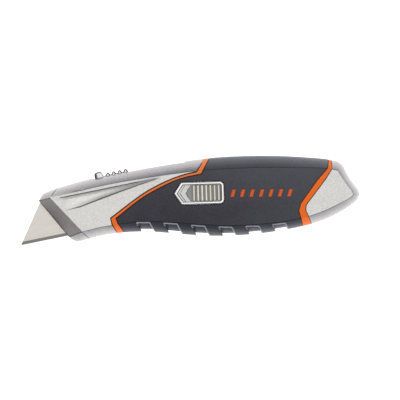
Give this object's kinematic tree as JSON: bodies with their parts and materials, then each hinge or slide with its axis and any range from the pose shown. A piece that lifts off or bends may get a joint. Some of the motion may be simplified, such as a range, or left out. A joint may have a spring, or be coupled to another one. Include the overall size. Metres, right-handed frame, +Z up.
{
  "type": "utility knife",
  "caption": "Retractable utility knife with a slanted metal nose, rubber grip with finger notches, spine thumb slide, side latch and a swing-open handle.",
  "frame": {"origin": "middle of the footprint of the knife lying on its right side, blade out, at the height of the table", "axes": "+X along the blade slide from the blade tip to the tail, +Y from the belly to the spine, +Z up through the thickness"},
  "size_m": [0.1712, 0.0469, 0.0238],
  "materials": {
    "cast_metal": "satin, fine sandblasted",
    "grip_rubber": "matte",
    "stripe_colour": "matte",
    "blade_steel": "ground",
    "carrier_plastic": "matte",
    "button_metal": "dark satin",
    "spring_steel": "drawn wire",
    "plain_steel": "zinc plated",
    "magnet_metal": "sintered",
    "latch_frame": "bright satin",
    "latch_metal": "brushed"
  },
  "bodies": {
    "base": {"base_shell": "cast_metal", "base_grip": "grip_rubber", "base_front_stripe": "stripe_colour", "base_rear_stripe": "stripe_colour", "detent_strip": "plain_steel", "spare_blade_1": "blade_steel", "spare_blade_2": "blade_steel", "spare_blade_3": "blade_steel", "spare_magnet": "magnet_metal", "pivot_washer": "plain_steel"},
    "carrier": {"blade_carrier": "carrier_plastic", "blade": "blade_steel", "button_spring": "spring_steel"},
    "button": {"thumb_button": "button_metal"},
    "cover": {"cover_shell": "cast_metal", "cover_grip": "grip_rubber", "cover_front_stripe": "stripe_colour", "cover_rear_stripe": "stripe_colour", "pivot_screw": "plain_steel", "latch_bezel": "latch_frame", "latch_arrow_plate": "latch_metal", "latch_spring": "spring_steel", "latch_retainer": "plain_steel", "retainer_screws": "plain_steel"},
    "latch": {"latch_button": "latch_metal", "latch_bar": "plain_steel", "latch_screw": "plain_steel"}
  },
  "joints": [
    {"name": "blade_slide", "type": "slide", "parent": "base", "child": "carrier", "axis": [1, 0, 0], "range_m": [0, 0.02699]},
    {"name": "thumb_press", "type": "slide", "parent": "carrier", "child": "button", "axis": [0, -1, 0], "range_m": [0, 0.001], "stiffness_N_per_m": 1500, "springref_m": -0.001, "deforming": ["button_spring"]},
    {"name": "cover_swing", "type": "hinge", "parent": "base", "child": "cover", "pos_m": [0.07051, -0.00844, 0.0115], "axis": [0, 0, 1], "range_deg": [0, 70]},
    {"name": "latch_slide", "type": "slide", "parent": "cover", "child": "latch", "axis": [-0.9853, 0.1711, 0], "range_m": [0, 0.004], "stiffness_N_per_m": 400, "springref_m": -0.003, "deforming": ["latch_spring"]}
  ]
}
